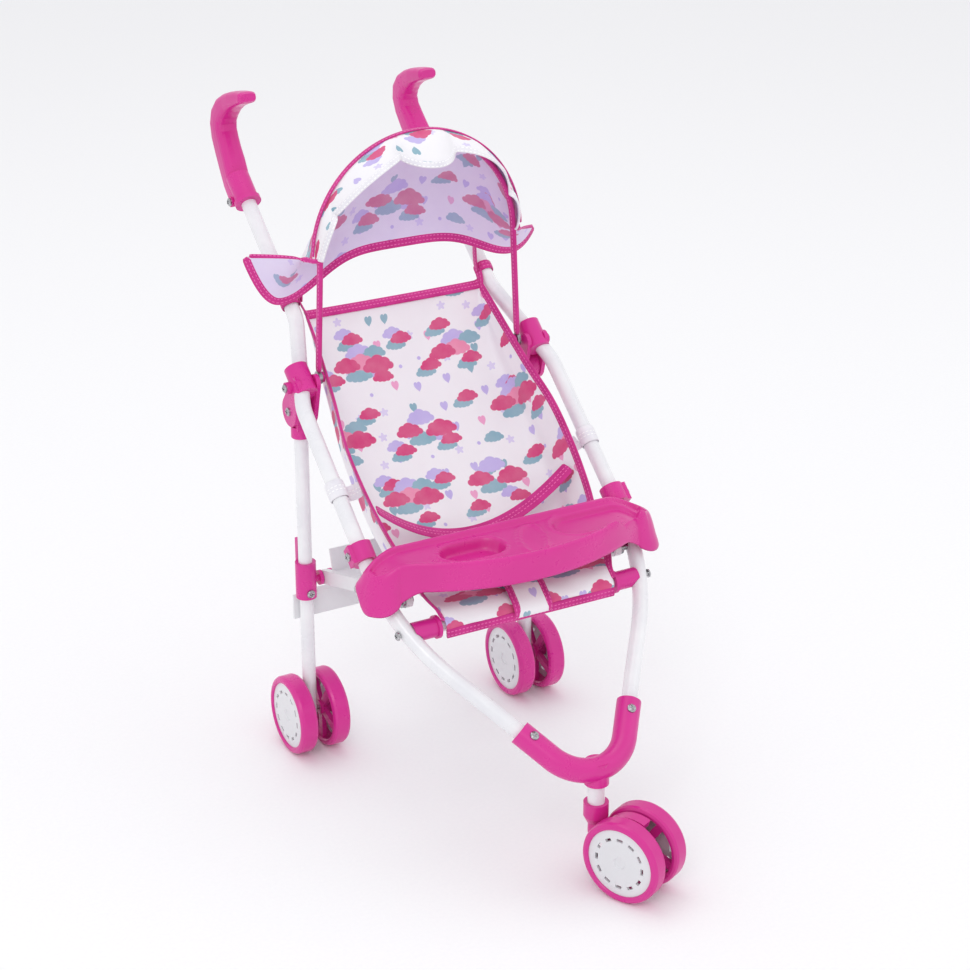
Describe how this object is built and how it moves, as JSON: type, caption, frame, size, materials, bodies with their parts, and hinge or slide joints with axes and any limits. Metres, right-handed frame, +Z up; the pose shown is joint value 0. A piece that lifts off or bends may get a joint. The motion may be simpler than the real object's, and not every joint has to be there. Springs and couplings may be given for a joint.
{
  "type": "doll stroller",
  "caption": "Folding three-point doll stroller with hook handles, bumper tray, printed fabric seat and canopy, swivel double caster and double rear wheels.",
  "frame": {"origin": "on the floor, at the middle of the stroller's box in plan", "axes": "+Z up, -Y the way the stroller faces and is pushed, +X to the side; the handles are at +Y, the caster at -Y"},
  "size_m": [0.276, 0.5702, 0.5544],
  "materials": {
    "tube_white": "gloss enamel",
    "plastic_pink": "semi-gloss moulded",
    "plastic_white": "semi-gloss moulded",
    "screw_steel": "bright plated",
    "axle_steel": "satin",
    "print_fabric": "printed polyester weave",
    "binding_pink": "folded binding tape",
    "tab_white": "hook and loop tape"
  },
  "bodies": {
    "frame": {"main_tube_left": "tube_white", "main_tube_right": "tube_white", "handle_left": "plastic_pink", "handle_right": "plastic_pink", "handle_screws": "screw_steel", "side_clamp_left": "plastic_pink", "side_clamp_right": "plastic_pink", "clamp_screws": "screw_steel", "hinge_screws": "screw_steel", "front_bracket": "plastic_pink", "bracket_screws": "screw_steel", "caster_stem": "tube_white", "seat_crossbar": "tube_white", "crossbar_sleeves": "plastic_pink", "crossbar_screws": "screw_steel", "bumper_tray": "plastic_pink", "tray_sleeves": "plastic_pink", "tube_clips": "plastic_pink", "clip_screws": "screw_steel", "brace_pivot_pins": "axle_steel", "seat_sling": "print_fabric", "lap_belt": "binding_pink", "crotch_strap": "print_fabric", "corner_straps": "binding_pink", "hook_tabs": "tab_white"},
    "rear_legs": {"rear_leg_left": "tube_white", "rear_leg_right": "tube_white", "leg_caps": "plastic_pink", "leg_collar_left": "plastic_pink", "leg_collar_right": "plastic_pink", "collar_screws": "screw_steel", "rear_crossbar": "plastic_white", "rear_crossbar_screws": "screw_steel", "rear_axles": "axle_steel"},
    "brace_rear": {"brace_rear_link": "plastic_white"},
    "brace_front": {"brace_front_link": "plastic_white", "brace_rivets": "screw_steel"},
    "canopy": {"canopy_bow": "axle_steel", "bow_binding": "binding_pink", "canopy": "print_fabric"},
    "caster": {"caster_fork": "plastic_pink", "caster_axle": "axle_steel"},
    "wheel_rear_left_outer": {"wheel_rear_left_outer": "plastic_pink", "cap_rear_left_outer": "plastic_white"},
    "wheel_rear_left_inner": {"wheel_rear_left_inner": "plastic_pink", "cap_rear_left_inner": "plastic_white"},
    "wheel_rear_right_outer": {"wheel_rear_right_outer": "plastic_pink", "cap_rear_right_outer": "plastic_white"},
    "wheel_rear_right_inner": {"wheel_rear_right_inner": "plastic_pink", "cap_rear_right_inner": "plastic_white"},
    "wheel_front_left": {"wheel_front_left": "plastic_pink", "cap_front_left": "plastic_white"},
    "wheel_front_right": {"wheel_front_right": "plastic_pink", "cap_front_right": "plastic_white"}
  },
  "joints": [
    {"name": "rear_fold", "type": "hinge", "parent": "frame", "child": "rear_legs", "pos_m": [0, 0.089, 0.319], "axis": [-1, 0, 0], "range_deg": [0, 34]},
    {"name": "brace_rear_fold", "type": "hinge", "parent": "rear_legs", "child": "brace_rear", "pos_m": [0, 0.089, 0.161], "axis": [1, 0, 0], "range_deg": [0, 97]},
    {"name": "brace_front_fold", "type": "hinge", "parent": "frame", "child": "brace_front", "pos_m": [0, -0.07772, 0.21188], "axis": [-1, 0, 0], "range_deg": [0, 63]},
    {"name": "canopy_fold", "type": "hinge", "parent": "frame", "child": "canopy", "pos_m": [0, 0.08168, 0.34706], "axis": [1, 0, 0], "range_deg": [0, 50]},
    {"name": "caster_swivel", "type": "hinge", "parent": "frame", "child": "caster", "pos_m": [0, -0.211, 0.064], "axis": [0, 0, 1], "continuous": true},
    {"name": "rear_left_outer_spin", "type": "hinge", "parent": "rear_legs", "child": "wheel_rear_left_outer", "pos_m": [-0.1245, 0.089, 0.035], "axis": [1, 0, 0], "continuous": true},
    {"name": "rear_left_inner_spin", "type": "hinge", "parent": "rear_legs", "child": "wheel_rear_left_inner", "pos_m": [-0.0935, 0.089, 0.035], "axis": [1, 0, 0], "continuous": true},
    {"name": "rear_right_outer_spin", "type": "hinge", "parent": "rear_legs", "child": "wheel_rear_right_outer", "pos_m": [0.1245, 0.089, 0.035], "axis": [1, 0, 0], "continuous": true},
    {"name": "rear_right_inner_spin", "type": "hinge", "parent": "rear_legs", "child": "wheel_rear_right_inner", "pos_m": [0.0935, 0.089, 0.035], "axis": [1, 0, 0], "continuous": true},
    {"name": "front_left_spin", "type": "hinge", "parent": "caster", "child": "wheel_front_left", "pos_m": [0.00159, -0.25108, 0.035], "axis": [0.9063, 0.4226, 0], "continuous": true},
    {"name": "front_right_spin", "type": "hinge", "parent": "caster", "child": "wheel_front_right", "pos_m": [0.02968, -0.23798, 0.035], "axis": [0.9063, 0.4226, 0], "continuous": true}
  ],
  "couplings": [
    {"joint": "brace_rear_fold", "follows": "rear_fold", "ratio": 2.8235},
    {"joint": "brace_front_fold", "follows": "rear_fold", "ratio": 1.8206}
  ]
}
